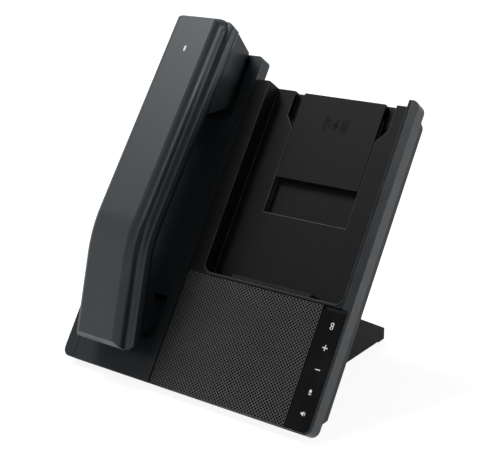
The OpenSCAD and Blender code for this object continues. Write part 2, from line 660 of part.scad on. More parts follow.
function ear_side(e) = let (p = upper_point(grip_l, seam_in),
        q = upper_point(upper_l - 11, seam_in)) [
    [p[0] + e, p[1], 0], [handset_end - 53 + e, 13.8, 6], [handset_end - 44.5 + e, ear_z + e, 4],
    [handset_end - 7.4 - e, ear_z + e, 1.2], [handset_end - 1.4 - e, q[1], 0]];
function mouth_side(e) = let (p = lower_point(1, seam_in), q = lower_point(44, seam_in)) [
    [p[0] - e, p[1], 0], [handset_y + 38.5 - e, 9.5, 3], [handset_y + 29 - e * 0.6, mouth_z + e, 3],
    [handset_y + 17.5 + e * 0.3, mouth_z + e, 3], [q[0] + e, mouth_z + 10.5 + e, 0], [q[0] + 1 + e, q[1] + 3, 0]];

ear_open = ear_boss_l + 0.4;
mic_spot = [handset_y + 8.7, 6.9];
mic_tilt = 36.2;
module on_mic() on_slab() translate([cradle_x, mic_spot[0], mic_spot[1]]) rotate([-mic_tilt, 0, 0]) children();

module handset_inner_shell() color(dark) {
    inner_casing();
    // Tongues that locate the outer shell
    intersection() {
        along_back() for (s = [-1, 1]) scale([s, 1]) translate([half_w - shell_t, seam_d])
            polygon([[-1.6, -2.4], [-0.1, -2.4], [-0.1, 0.5], [0.2, 0.5], [0.2, 2], [-1.6, 2]]);
        handset_ends(shell_t + 3);
    }
}

module inner_casing() difference() {
    union() {
        intersection() {
            union() {
                along_back() polygon(outline(inner_section()));
                on_slab() side_view(cradle_x - block_half, cradle_x + block_half, ear_side(0));
                on_slab() side_view(cradle_x - block_half, cradle_x + block_half, mouth_side(0));
            }
            handset_ends(0);
            below_seam(seam_in);
        }
        on_slab() span([cradle_x - block_w / 2, contact_y - block_l / 2, -1.6],
            [cradle_x + block_w / 2, contact_y + block_l / 2, mouth_z + 2]);
    }
    intersection() {
        along_back() polygon(outline(inner_hollow()));
        handset_ends(shell_t);
    }
    intersection() {
        union() {
            on_slab() side_view(cradle_x - block_half + shell_t, cradle_x + block_half - shell_t,
                ear_side(shell_t));
            on_slab() side_view(cradle_x - block_half + shell_t, cradle_x + block_half - shell_t,
                mouth_side(shell_t + 0.8));
        }
        handset_ends(shell_t);
    }
    on_slab() translate([cradle_x, ear_boss_y, 0])
        plate(-ear_open / 2, ear_open / 2, -ear_open / 2, ear_open / 2, -5, ear_z + 5, 4);
    on_slab() for (s = [-1, 1]) translate([cradle_x + s * contact_x, contact_y, -3])
        cylinder(r = 1.65, h = 2);
    on_mic() translate([0, 0, -2]) cylinder(r = 0.7, h = 6);
    for (s = key_s) on_upper(s, grip_d + 1) cylinder(r = key_r + key_gap, h = 4);
    on_upper(screw_s, grip_d + 1) handset_screw_hole();
    on_lower(3, grip_d + 1) handset_screw_hole();
}

// Everything deeper than the joint line between the shells
module below_seam(d) along_back() translate([-30, d]) square([60, bend_r - 10 - d]);

module handset_screw_hole() {
    cylinder(r = screw_r + 0.2, h = 8);
    cylinder(r = head_r, h = 2.3);
}

module handset_screws() color(metal) {
    on_upper(screw_s, grip_d - 1.3) screw(handset_screw_l - 1.5, screw_r, 0);
    on_lower(3, grip_d - 1.3) screw(handset_screw_l - 1.5, screw_r, 0);
}

module status_light() color(white) on_upper(light_s, board_post - 0.3) bar(3.8, 0.65, 0, board_post - 0.3);

boss_z = -2.6;
module ear_cap() color(black) on_slab() translate([cradle_x, ear_boss_y, 0]) difference() {
    union() {
        plate(-ear_boss_l / 2, ear_boss_l / 2, -ear_boss_l / 2, ear_boss_l / 2, boss_z,
            ear_z + shell_t + 0.2, 3.8);
        plate(-ear_boss_l / 2 - 1, ear_boss_l / 2 + 1, -ear_boss_l / 2 - 1, ear_boss_l / 2 + 1,
            ear_z + shell_t + 0.1, ear_z + shell_t + 1.2, 3.8);
    }
    span([-ear_boss_l / 2 + 1.6, -ear_boss_l / 2 + 1.6, boss_z + 1.6],
        [ear_boss_l / 2 - 1.6, ear_boss_l / 2 - 1.6, 10]);
    for (i = [-2:2]) translate([i * 3.6, 0, 0]) bar(14 - abs(i) * 2, 0.8, boss_z - 1, boss_z + 3);
}

receiver_r = 11.5;
module ear_gasket() color(rubber) on_slab() translate([cradle_x, ear_boss_y, 0])
    ring(receiver_r, receiver_r - 2.5, boss_z + 1.6, boss_z + 2.8);
module ear_receiver() color(metal) on_slab() translate([cradle_x, ear_boss_y, boss_z + 2.8]) {
    cylinder(r = receiver_r, h = 3.6);
    translate([0, 0, 3.6 - eps]) cylinder(r = receiver_r - 4, h = 3);
}

module handset_contacts() color(gold) on_slab() for (s = [-1, 1])
    translate([cradle_x + s * contact_x, contact_y, pin_top + contact_gap]) cylinder(r = 1.6, h = 0.7);

module microphone_boot() color(rubber) on_mic() ring(4, 3.05, 2.8, 5);
module handset_microphone() color(metal) on_mic() translate([0, 0, 2.9]) cylinder(r = 3, h = 2.2);

module handset_board() color(board_green) difference() {
    on_upper(board_s[0], board_post + 1.3) span([-13, 0, 0], [13, board_s[1] - board_s[0], 1.2]);
    on_upper(screw_s, board_post + 2) cylinder(r = 3.4, h = 4);
}
module handset_battery() color([0.2, 0.3, 0.5])
    on_upper(2, grip_d - shell_t - 0.2) plate(-14, 14, 0, battery_l, 0, 8, 2);

key_r = 3.4;
key_out = 0.8;
module key(s) on_upper(s, grip_d + key_out) {
    cylinder(r = key_r, h = key_out + shell_t + 0.8);
    translate([0, 0, key_out + shell_t + 0.3]) cylinder(r = key_r + 1, h = 0.8);
    translate([0, 0, key_out + shell_t + 0.8]) cylinder(r = 1.2, h = grip_d - shell_t - 10.2);
}
module call_key() color(rubber) key(key_s[1]);
module mute_key() color(rubber) key(key_s[0]);

// ---- stand ----

contact = -dock_d - hook_gap;
stand_low = 20;
stand_x = stand_w / 2;
stand_a = slab_point(stand_top, contact);
stand_b = [stand_reach, stand_end_h];
stand_e = slab_point(stand_low, contact);
stand_slope = unit(stand_b - stand_a);
stand_down = [stand_slope[1], -stand_slope[0]];
back_down = unit(stand_e - stand_a);
back_in = [-back_down[1], back_down[0]];

// Closed band below the line from p to q
function band(p, q, down) = [[p[0], p[1], 0], [q[0], q[1], 0],
    [q[0] + down[0], q[1] + down[1], 0], [p[0] + down[0], p[1] + down[1], 0]];

module stand_form(x0, x1) side_view(x0, x1, [[stand_a[0], stand_a[1], 0], [stand_b[0], stand_b[1], 1.6],
    [stand_b[0], pad_t, 0], [stand_e[0] + 4, pad_t, 0], [stand_e[0], stand_e[1], 0]]);

module stand_body() color(dark) {
    for (s = [-1, 1]) {
        stand_form(s > 0 ? stand_x - 2.8 : -stand_x + 0.8, s > 0 ? stand_x - 0.8 : -stand_x + 2.8);
        intersection() {
            stand_form(s > 0 ? stand_x - 2.8 : -stand_x, s > 0 ? stand_x : -stand_x + 2.8);
            side_view(-stand_x, stand_x, band(stand_a - 5 * stand_slope, stand_b + 9 * stand_slope,
                stand_down * band_d));
        }
    }
    intersection() {
        stand_form(-stand_x + 1, stand_x - 1);
        union() {
            side_view(-stand_x, stand_x, band(stand_a - 5 * stand_slope, stand_b + 9 * stand_slope,
                stand_down * 2.6));
            side_view(-stand_x, stand_x, band(stand_a, stand_e + 9 * back_down, back_in * 3));
            side_view(-stand_x, stand_x, [[stand_reach - 3, 0, 0], [stand_reach, 0, 0],
                [stand_reach, 20, 0], [stand_reach - 3, 20, 0]]);
            side_view(-stand_x, stand_x, [[stand_reach - 15, 0, 0], [stand_reach, 0, 0],
                [stand_reach, pad_t + 2, 0], [stand_reach - 15, pad_t + 2, 0]]);
        }
    }
    on_slab() for (s = [-1, 1], y = hook_y) {
        span([s * hook_x - hook_w / 2, y, contact - 1], [s * hook_x + hook_w / 2, y + hook_neck,
            cover_in + hook_gap + hook_t]);
        span([s * hook_x - hook_w / 2, y, cover_in + hook_gap],
            [s * hook_x + hook_w / 2, y + hook_neck + unhook - hook_gap, cover_in + hook_gap + hook_t]);
    }
}

module stand_pads() color(rubber) for (s = [-1, 1])
    translate([s * (stand_x - 14) - 10, stand_reach - 13, 0]) cube([20, 11, pad_t]);

front_shell();
rear_cover();
cradle_panel();
phone_tray();
phone_rest_pad();
speaker_grille();
touch_strip();
touch_icons();
touch_board();
main_board();
board_screws();
speaker_gasket();
speaker_frame();
speaker_cone();
speaker_magnet();
dock_microphones();
power_inlet();
ballast_plate();
cradle_magnet();
front_foot();
cover_screws();
charge_pin_block();
charge_pin_left();
charge_pin_right();
charging_plate();
charging_coil();
coil_shield();
plate_base();
charge_symbol();
handset_outer_shell();
handset_inner_shell();
status_light();
ear_cap();
ear_gasket();
ear_receiver();
handset_contacts();
handset_microphone();
microphone_boot();
handset_board();
handset_battery();
handset_screws();
call_key();
mute_key();
stand_body();
stand_pads();
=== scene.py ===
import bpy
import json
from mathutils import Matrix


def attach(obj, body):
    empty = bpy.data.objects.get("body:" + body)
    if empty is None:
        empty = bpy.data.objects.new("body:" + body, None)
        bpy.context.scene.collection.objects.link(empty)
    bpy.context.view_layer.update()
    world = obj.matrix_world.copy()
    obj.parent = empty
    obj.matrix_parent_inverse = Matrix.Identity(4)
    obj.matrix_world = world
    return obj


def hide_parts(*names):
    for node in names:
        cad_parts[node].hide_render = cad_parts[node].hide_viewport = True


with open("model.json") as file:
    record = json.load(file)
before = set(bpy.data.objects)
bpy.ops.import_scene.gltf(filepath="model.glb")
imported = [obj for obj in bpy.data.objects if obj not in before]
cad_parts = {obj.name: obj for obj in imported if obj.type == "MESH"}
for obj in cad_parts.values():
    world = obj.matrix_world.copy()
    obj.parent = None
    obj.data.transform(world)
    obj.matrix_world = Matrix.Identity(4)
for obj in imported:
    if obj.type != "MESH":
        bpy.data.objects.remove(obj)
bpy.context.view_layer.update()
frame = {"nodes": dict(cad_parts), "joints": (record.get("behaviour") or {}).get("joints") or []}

import json
import math
from functools import cached_property

import bmesh
import bpy
from mathutils import Matrix, Vector

# Desktop dock with a cordless telephone handset, a speakerphone and a phone charging tray.
# Pieces are drawn on the leaning slab in millimetres (x across, y up the slab, z out of its face)
# and are moved into the part's frame, in metres, when they are done.

nodes = frame["nodes"]
MM = 0.001


# ---- the slab's frame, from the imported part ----

# The handset lifts straight out of the slab's face
lift = next(joint for joint in frame["joints"] if joint["name"] == "handset_lift")
face_out = Vector(lift["axis"]).normalized()
slab_up = Vector((0, face_out.z, -face_out.y))
slab_across = Vector((1, 0, 0))


def slab_frame():
    """From slab millimetres to the part's frame. Slab zero is the middle of the face's foot."""
    corners = [v.co for v in nodes["front_shell"].data.vertices]
    foot = slab_up * min(c.dot(slab_up) for c in corners)
    face = face_out * max(c.dot(face_out) for c in corners)
    turn = Matrix((slab_across, slab_up, face_out)).transposed().to_4x4()
    return Matrix.Translation(foot + face) @ turn @ Matrix.Scale(MM, 4)


SLAB = slab_frame()


def slab_box(name):
    """Lowest and highest corner of a CAD node in slab millimetres."""
    inverse = SLAB.inverted()
    points = [inverse @ v.co for v in nodes[name].data.vertices]
    return [Vector([f(p[i] for p in points) for i in range(3)]) for f in (min, max)]


# ---- shader nodes ----

# Sockets of a Mix node that mixes colours
MIX_FIRST = 6
MIX_SECOND = 7
MIX_RESULT = 2
# Spans of a noise's values: most of them, and the middle ones
MOST = (0.3, 0.7)
MIDDLE = (0.35, 0.65)


class Value:
    """A shader socket that takes part in Python sums."""

    def __init__(self, paint, socket):
        self.paint = paint
        self.socket = socket

    def sum(self, operation, first, second):
        return self.paint.node("ShaderNodeMath", {"operation": operation}, {0: first, 1: second})

    def __add__(self, other):
        return self.sum("ADD", self, other)

    def __radd__(self, other):
        return self.sum("ADD", other, self)

    def __sub__(self, other):
        return self.sum("SUBTRACT", self, other)

    def __rsub__(self, other):
        return self.sum("SUBTRACT", other, self)

    def __mul__(self, other):
        return self.sum("MULTIPLY", self, other)

    def __rmul__(self, other):
        return self.sum("MULTIPLY", other, self)

    def __gt__(self, other):
        return self.sum("GREATER_THAN", self, other)

    def __lt__(self, other):
        return self.sum("LESS_THAN", self, other)


class Paint:
    """A node material for one finish."""

    def __init__(self, name):
        self.material = bpy.data.materials.new(name)
        self.material.use_nodes = True
        self.tree = self.material.node_tree
        self.tree.nodes.clear()
        self.place = self.node("ShaderNodeTexCoord", output="Object")

    def node(self, kind, settings=None, sockets=None, output=0):
        """Any node: its settings come first, then the values or links of its sockets."""
        made = self.tree.nodes.new(kind)
        for key, value in (settings or {}).items():
            setattr(made, key, value)
        for key, value in (sockets or {}).items():
            self.set(made.inputs[key], value)
        return None if output is None else Value(self, made.outputs[output])

    @cached_property
    def along(self):
        """The place turned to the slab's own directions: across, up it and out of it."""
        turn = Matrix((slab_across, slab_up, face_out)).to_euler()
        return self.node("ShaderNodeMapping", None, {"Vector": self.place, "Rotation": turn})

    def set(self, target, value):
        if isinstance(value, Value):
            self.tree.links.new(value.socket, target)
        else:
            target.default_value = value

    def noise(self, scale, detail=2.0, place=None):
        """Noise from 0 to 1; scale is in waves per metre."""
        sockets = {"Vector": place or self.place, "Scale": scale, "Detail": detail}
        return self.node("ShaderNodeTexNoise", None, sockets, "Fac")

    def cells(self, scale):
        """Distance from the middle of each cell; scale is in cells per metre."""
        sockets = {"Vector": self.place, "Scale": scale}
        return self.node("ShaderNodeTexVoronoi", {"feature": "F1"}, sockets, "Distance")

    def blend(self, factor, first, second):
        """Colour that goes from first to second."""
        sockets = {0: factor, MIX_FIRST: first, MIX_SECOND: second}
        return self.node("ShaderNodeMix", {"data_type": "RGBA"}, sockets, MIX_RESULT)

    def spread(self, value, span, result=(0.0, 1.0)):
        """Maps a span of a value to a result, and holds it there outside the span."""
        sockets = dict(enumerate((value, *span, *result)))
        return self.node("ShaderNodeMapRange", {"clamp": True}, sockets)

    def stretched(self, scale):
        """The slab place drawn out, for brushed and wound surfaces."""
        return self.node("ShaderNodeMapping", None, {"Vector": self.along, "Scale": scale})

    def bands(self, kind, direction, scale, blur=0.0):
        """Even waves from 0 to 1, as BANDS across the slab's direction or as RINGS round it."""
        settings = {"wave_type": kind, kind.lower() + "_direction": direction}
        sockets = {"Vector": self.along, "Scale": scale, "Distortion": blur, "Detail": 2.0}
        return self.node("ShaderNodeTexWave", settings, sockets, "Fac")

    def bump(self, height, depth):
        """Height from 0 to 1 raised by depth millimetres."""
        sockets = {"Height": height, "Strength": 1.0, "Distance": depth * MM}
        return self.node("ShaderNodeBump", None, sockets)

    def finish(self, colour, roughness, relief, gloss=0.5, metallic=0.0):
        """Closes the material with its shader; gloss is the specular level."""
        sockets = {"Base Color": colour, "Roughness": roughness, "Normal": relief,
                   "Specular IOR Level": gloss, "Metallic": metallic}
        self.end(self.node("ShaderNodeBsdfPrincipled", None, sockets))
        return self.material

    def end(self, surface):
        self.node("ShaderNodeOutputMaterial", None, {"Surface": surface}, None)


def linear(level):
    """Light of a screen level from 0 to 1."""
    return level / 12.92 if level <= 0.04045 else ((level + 0.055) / 1.055) ** 2.4


def screen(red, green, blue):
    """Colour from 0-255 screen levels."""
    return tuple(linear(level / 255) for level in (red, green, blue)) + (1.0,)


def shade(colour, share):
    """The colour made lighter or darker."""
    return tuple(min(1.0, level * share) for level in colour[:3]) + (1.0,)


# ---- finishes ----

def moulded(name, colour, roughness, gloss=0.2, edge_highlight=1.5):
    """Moulded plastic: spark-eroded grain, faint flow lines, handling marks, and a painted highlight
    that lightens the rounded edges, which are also a little smoother.
    """
    grain_scale, flow_scale, marks_scale = 2600, 24, 130
    grain_depth, mottle = 0.012, 0.03
    paint = Paint(name)
    fine = paint.noise(grain_scale, 3.0)
    pits = paint.cells(grain_scale * 0.8)
    flow = paint.noise(flow_scale, 2.0, paint.stretched((1, 0.4, 1)))
    marks = paint.noise(marks_scale, 4.0)
    tone = paint.spread(flow * 0.55 + fine * 0.45, MIDDLE)
    edges = paint.node("ShaderNodeAttribute", {"attribute_name": "edge"}, None, "Fac")
    # Painted highlight: the rounded edge strips are painted lighter, by the last factor, to stand in
    # for light caught on the edges; the handling marks vary it, and the strips are also a little
    # smoother
    edge_highlight_and_polish = edges * paint.spread(marks, (0.3, 0.6), (0.6, 1.0))
    flat = paint.blend(tone, shade(colour, 1 - mottle), shade(colour, 1 + mottle))
    skin = paint.blend(edge_highlight_and_polish, flat, shade(colour, edge_highlight))
    rough = paint.spread(marks, MOST, (roughness - 0.05, roughness + 0.05)) - edge_highlight_and_polish * 0.08
    return paint.finish(skin, rough, paint.bump(fine * 0.6 + pits * 0.4, grain_depth), gloss)


def rubber():
    """Pebbled rubber with a little dust in the pebbles."""
    black = screen(27, 27, 28)
    pebble_scale, pebble_depth, dust_scale = 2100, 0.04, 90
    paint = Paint("rubber")
    pebbles = paint.cells(pebble_scale)
    dust = paint.noise(dust_scale, 4.0)
    dusty = paint.spread(pebbles * 0.7 + dust * 0.5, (0.3, 0.8))
    skin = paint.blend(dusty, black, shade(black, 1.35))
    rough = paint.spread(dust, MOST, (0.72, 0.9))
    return paint.finish(skin, rough, paint.bump(1 - pebbles, pebble_depth), 0.2)


def sheet_paint():
    """Powder paint on the perforated sheet, a little uneven."""
    grey = screen(84, 84, 85)
    powder_scale, powder_depth, cloud_scale = 5200, 0.01, 30
    paint = Paint("grille")
    powder = paint.cells(powder_scale)
    cloud = paint.noise(cloud_scale, 3.0)
    tone = paint.spread(cloud + powder * 0.3, (0.4, 0.9))
    skin = paint.blend(tone, shade(grey, 0.93), shade(grey, 1.1))
    rough = paint.spread(cloud, MIDDLE, (0.38, 0.5))
    return paint.finish(skin, rough, paint.bump(powder, powder_depth), 0.2)


def backing_cloth():
    """Black woven cloth behind the perforated sheet."""
    thread_scale, thread_depth, lint_scale = 900, 0.05, 300
    paint = Paint("backing_cloth")
    weave = paint.bands("BANDS", "X", thread_scale) * paint.bands("BANDS", "Y", thread_scale)
    lint = paint.noise(lint_scale, 4.0)
    tone = paint.spread(weave + lint * 0.4, (0.2, 1.0))
    skin = paint.blend(tone, screen(5, 5, 5), screen(15, 15, 16))
    rough = paint.spread(lint, MOST, (0.85, 0.98))
    return paint.finish(skin, rough, paint.bump(weave, thread_depth), 0.05)


def glazed():
    """Polished black plastic with finger smears, dust specks and a very slight waviness."""
    black = screen(11, 11, 12)
    smear_scale, speck_scale, wave_scale, wave_depth = 60, 900, 16, 0.02
    paint = Paint("gloss_black")
    smear = paint.noise(smear_scale, 5.0, paint.stretched((1, 0.3, 1)))
    specks = paint.cells(speck_scale)
    wave = paint.noise(wave_scale, 1.0)
    skin = paint.blend(paint.spread(specks, (0.0, 0.06), (1.0, 0.0)), black, shade(black, 2.2))
    rough = paint.spread(smear, (0.45, 0.75), (0.14, 0.3))
    return paint.finish(skin, rough, paint.bump(wave * 0.9 + smear * 0.1, wave_depth), 0.25)


def ink(name, colour, depth, gloss=0.3):
    """Screen-printed ink with the mesh's fine dots."""
    dot_scale, cover_scale = 4200, 420
    paint = Paint(name)
    dots = paint.cells(dot_scale)
    cover = paint.noise(cover_scale, 3.0)
    tone = paint.spread(cover + dots * 0.4, (0.4, 0.9))
    skin = paint.blend(tone, shade(colour, 0.92), colour)
    rough = paint.spread(cover, MOST, (0.34, 0.5))
    return paint.finish(skin, rough, paint.bump(dots, depth), gloss)


def board_green():
    """Solder mask over copper tracks, with bare tinned pads."""
    across_scale, upward_scale, track_blur = 130, 95, 6.0
    patch_scale, pad_scale, pad_size, track_depth = 60, 330, 0.16, 0.035
    paint = Paint("circuit_board")
    across = paint.bands("BANDS", "X", across_scale, track_blur)
    upward = paint.bands("BANDS", "Y", upward_scale, track_blur)
    patch = paint.noise(patch_scale, 0.0) > 0.5
    track = paint.spread(across * patch + upward * (1 - patch), (0.72, 0.8))
    pads = paint.cells(pad_scale) < pad_size
    green = paint.blend(track, screen(14, 70, 38), screen(34, 110, 62))
    skin = paint.blend(pads, green, screen(196, 198, 194))
    rough = paint.spread(pads, (0.0, 1.0), (0.3, 0.42))
    return paint.finish(skin, rough, paint.bump(track * 0.6 + pads * 0.4, track_depth), metallic=pads)


def metal(name, colour, roughness, drawn, tarnish=0.08, scratch=0.006):
    """Bare or plated metal with fine lines drawn one way and a slight tarnish."""
    line_scale, film_scale = 900, 170
    paint = Paint(name)
    lines = paint.noise(line_scale, 3.0, paint.stretched(drawn))
    film = paint.noise(film_scale, 4.0)
    tone = paint.spread(film, (0.35, 0.7))
    skin = paint.blend(tone, shade(colour, 1 + tarnish / 2), shade(colour, 1 - tarnish))
    rough = paint.spread(lines * 0.6 + film * 0.4, MIDDLE, (roughness - 0.07, roughness + 0.1))
    return paint.finish(skin, rough, paint.bump(lines, scratch), metallic=1.0)


def cone_paper():
    """Pressed paper of matted fibres."""
    fibre_scale, fibre_depth = 1500, 0.06
    paint = Paint("paper_cone")
    fibres = paint.noise(fibre_scale, 5.0, paint.stretched((1, 0.25, 1)))
    cross = paint.noise(fibre_scale, 5.0, paint.stretched((0.25, 1, 1)))
    mat = fibres * 0.5 + cross * 0.5
    skin = paint.blend(paint.spread(mat, MIDDLE), screen(28, 27, 26), screen(52, 51, 49))
    rough = paint.spread(mat, MOST, (0.82, 0.95))
    return paint.finish(skin, rough, paint.bump(mat, fibre_depth), 0.25)


def wound_copper():
    """Enamelled wire laid turn by turn."""
    turn_scale, turn_depth, enamel_scale = 640, 0.12, 260
    paint = Paint("copper")
    turns = paint.bands("RINGS", "Z", turn_scale, 0.4)
    enamel = paint.noise(enamel_scale, 3.0)
    skin = paint.blend(paint.spread(turns, (0.1, 0.7)), screen(92, 44, 22), screen(206, 122, 74))
    rough = paint.spread(enamel, MOST, (0.28, 0.42))
    return paint.finish(skin, rough, paint.bump(turns, turn_depth), metallic=0.9)


def sintered():
    """Fired ferrite: dark grey with fine light specks."""
    grain_scale, grain_depth, cloud_scale = 3400, 0.02, 120
    paint = Paint("ferrite")
    grains = paint.cells(grain_scale)
    cloud = paint.noise(cloud_scale, 3.0)
    tone = paint.spread(grains + cloud * 0.3, (0.3, 0.9))
    skin = paint.blend(tone, screen(40, 40, 42), screen(74, 73, 74))
    rough = paint.spread(grains, (0.1, 0.7), (0.55, 0.7))
    return paint.finish(skin, rough, paint.bump(grains, grain_depth), 0.4)


def shrink_film():
    """Shrink film on the battery: soft creases drawn to the ends."""
    blue = screen(44, 84, 148)
    crease_scale, crease_depth, fine_scale = 140, 0.12, 2200
    paint = Paint("battery_wrap")
    crease = paint.noise(crease_scale, 3.0, paint.stretched((1, 0.2, 1)))
    fine = paint.noise(fine_scale, 2.0)
    skin = paint.blend(paint.spread(crease, (0.4, 0.7)), shade(blue, 0.86), shade(blue, 1.08))
    rough = paint.spread(crease * 0.7 + fine * 0.3, MIDDLE, (0.2, 0.34))
    return paint.finish(skin, rough, paint.bump(crease, crease_depth))


# The last factor of each moulded finish sets how much lighter its rounded edges are painted, a painted
# highlight
materials = {
    "slate_shell": moulded("slate_shell", screen(34, 40, 44), 0.36, gloss=0.3, edge_highlight=4),
    "dark_shell": moulded("dark_shell", screen(32, 33, 35), 0.5),
    "cradle_plastic": moulded("cradle_plastic", screen(40, 46, 50), 0.34, gloss=0.25, edge_highlight=4),
    "tray_plastic": moulded("tray_plastic", screen(23, 23, 24), 0.48, gloss=0.1, edge_highlight=6),
    "rubber": rubber(),
    "grille": sheet_paint(),
    "gloss_black": glazed(),
    "white_print": ink("white_print", screen(236, 238, 240), 0.004),
    "circuit_board": board_green(),
    "screw_steel": metal("screw_steel", screen(160, 160, 163), 0.34, (1, 0.1, 1)),
    "inlet_steel": metal("inlet_steel", screen(188, 187, 184), 0.22, (0.1, 1, 1), 0.05, 0.003),
    "paper_cone": cone_paper(),
    "gold": metal("gold", screen(214, 172, 88), 0.2, (1, 1, 0.2), 0.1, 0.003),
    "copper": wound_copper(),
    "ferrite": sintered(),
    "symbol_print": ink("symbol_print", screen(6, 6, 6), 0.01, 0.06),
    "handset_plastic": moulded("handset_plastic", screen(45, 52, 56), 0.42, gloss=0.45, edge_highlight=1.1),
    "handset_inner": moulded("handset_inner", screen(36, 39, 43), 0.34, gloss=0.3),
    "battery_wrap": shrink_film(),
    "stand_plastic": moulded("stand_plastic", screen(13, 13, 14), 0.5, gloss=0.06),
}


def paint_cad():
    """Gives each CAD node its finish, by the slot name that its material carries."""
    for node in nodes.values():
        for slot in node.material_slots:
            key = slot.material.name.split(".")[0] if slot.material else None
            if key in materials:
                slot.material = materials[key]


paint_cad()


# ---- modelling, as by hand ----

ROUND_SIDES = 32
# Edges that turn more than this are rounded; flats that turn less than that are joined
SHARP = math.radians(32)
NEARLY_FLAT = math.radians(0.5)
# In millimetres: places that count as the same, and corners of a finished piece that become one
TOUCHING = 0.001
NEAR = 0.03


def alone(piece):
    """Selects the piece and nothing else."""
    bpy.ops.object.select_all(action="DESELECT")
    piece.select_set(True)
    bpy.context.view_layer.objects.active = piece


def settle(piece, name):
    """Puts the object's turn, size and place into its mesh."""
    alone(piece)
    bpy.ops.object.transform_apply(location=True, rotation=True, scale=True)
    piece.name = name
    return piece


def block(name, low, high):
    """Square block between two corners."""
    low, high = Vector(low), Vector(high)
    bpy.ops.object.select_all(action="DESELECT")
    bpy.ops.mesh.primitive_cube_add(size=1, location=(low + high) / 2)
    bpy.context.object.scale = high - low
    return settle(bpy.context.object, name)


def peg(name, centre, radius, bottom, top):
    """Upright round peg."""
    middle_point = (centre[0], centre[1], (bottom + top) / 2)
    bpy.ops.object.select_all(action="DESELECT")
    bpy.ops.mesh.primitive_cylinder_add(vertices=ROUND_SIDES, radius=radius, depth=top - bottom,
                                        location=middle_point)
    return settle(bpy.context.object, name)


def middle(part):
    """Middle of a face, an edge or a corner."""
    corners = [part.co] if isinstance(part, bmesh.types.BMVert) else [v.co for v in part.verts]
    return sum(corners, Vector()) / len(corners)


def runs(edge, axis):
    """True if the edge is parallel to an axis, 0 to 2."""
    way = edge.verts[1].co - edge.verts[0].co
    return abs(way[axis]) > 0.999 * way.length


def choose(piece, kind, test):
    """Opens the piece in edit mode with the faces, edges or corners that pass the test selected."""
    alone(piece)
    bpy.ops.object.mode_set(mode="EDIT")
    bpy.ops.mesh.select_mode(type=kind)
    bpy.ops.mesh.select_all(action="DESELECT")
    mesh = bmesh.from_edit_mesh(piece.data)
    for part in {"FACE": mesh.faces, "EDGE": mesh.edges, "VERT": mesh.verts}[kind]:
        if test(part):
            part.select_set(True)
    bmesh.update_edit_mesh(piece.data)


def close():
    bpy.ops.object.mode_set(mode="OBJECT")


def slice_off(piece, point, normal):
    """Cuts away what lies beyond a plane, on the side that its normal points to."""
    choose(piece, "FACE", lambda face: True)
    bpy.ops.mesh.bisect(plane_co=point, plane_no=Vector(normal).normalized(), use_fill=True,
                        clear_outer=True)
    close()


def trim_side(piece, *lines):
    """Cuts the side view (y, z) along lines, each keeping what lies to the left of it."""
    for (y0, z0), (y1, z1) in lines:
        slice_off(piece, (0, y0, z0), (0, z1 - z0, y0 - y1))


def round_edges(piece, radius, segments, test):
    """Rounds the edges that pass the test."""
    choose(piece, "EDGE", test)
    bpy.ops.mesh.bevel(offset=radius, segments=segments, profile=0.5, affect="EDGES")
    close()


def apply(piece, kind, **settings):
    """Adds a modifier and applies it."""
    modifier = piece.modifiers.new(kind, kind)
    for key, value in settings.items():
        setattr(modifier, key, value)
    alone(piece)
    bpy.ops.object.modifier_apply(modifier=modifier.name)


def combine(piece, operation, *others):
    """Joins the others to the piece, or crosses it with them; they are used up."""
    for other in others:
        apply(piece, "BOOLEAN", operation=operation, solver="EXACT", object=other)
        bpy.data.objects.remove(other)


def cut(piece, *others):
    combine(piece, "DIFFERENCE", *others)


def clean(piece, near):
    """Joins corners that nearly touch and flats that were split."""
    choose(piece, "VERT", lambda vert: True)
    bpy.ops.mesh.remove_doubles(threshold=near)
    bpy.ops.mesh.dissolve_limited(angle_limit=NEARLY_FLAT)
    close()


def soften(piece, width, segments=2, near=NEAR):
    """Rounds every sharp edge a little, keeps the flats flat and marks the rounded strips.

    The strips take the second of two stand-in materials, and so they are known afterwards."""
    clean(piece, near)
    piece.data.materials.clear()
    for material in list(materials.values())[:2]:
        piece.data.materials.append(material)
    for face in piece.data.polygons:
        face.use_smooth = True
        face.material_index = 0
    apply(piece, "BEVEL", width=width, segments=segments, limit_method="ANGLE", material=1,
          angle_limit=SHARP, harden_normals=True, use_clamp_overlap=True)
    apply(piece, "WEIGHTED_NORMAL", mode="FACE_AREA", weight=100, thresh=0.01)
    strips = [float(face.material_index) for face in piece.data.polygons]
    piece.data.attributes.new("edge", "FLOAT", "FACE").data.foreach_set("value", strips)
    for face in piece.data.polygons:
        face.material_index = 0


def place(piece, body, slot, *replaced, frame_matrix=SLAB):
    """Moves a finished piece into the part's frame and hands it to its body."""
    piece.data.transform(frame_matrix)
    piece.data.materials.clear()
    piece.data.materials.append(materials[slot])
    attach(piece, body)
    if replaced:
        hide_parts(*replaced)


# ---- handset ----

low, high = slab_box("handset_outer_shell")
grip_x = (low.x + high.x) / 2
half_w = (high.x - low.x) / 2
end_low, end_high = low.y, high.y
ear_low, ear_high = slab_box("ear_cap")

# The back is straight, then bends round an axis across the handset; depths are below the back
bend_r = 75
bend_steps = 14
bend_start = (87.72, 42.92)
upper_tilt = math.radians(2.7)
lower_tilt = math.radians(19.1)
upper_run, lower_run = 150, 80
face_half = 14.2
chamfer_depth = 3.4
wall_half = half_w - 3.6
shoulder_top, shoulder_foot = 9.8, 10.4
seam = 15.2
grip_edge, grip_depth = 18, 21.5
shell_wall, mouth_wall = 1.8, 2.6
ALONG_GRIP = Matrix.Translation((grip_x, *bend_start)) @ Matrix.Rotation(-upper_tilt, 4, "X")

# The two ends: plan corners, the tip beyond the box's top, and the raised back's own corners
plan_corner = 5.5
tip_y = end_high + 0.26
tip_z = 29
tip_lean = math.atan2(5.9, 13)
back_corner = 6.0

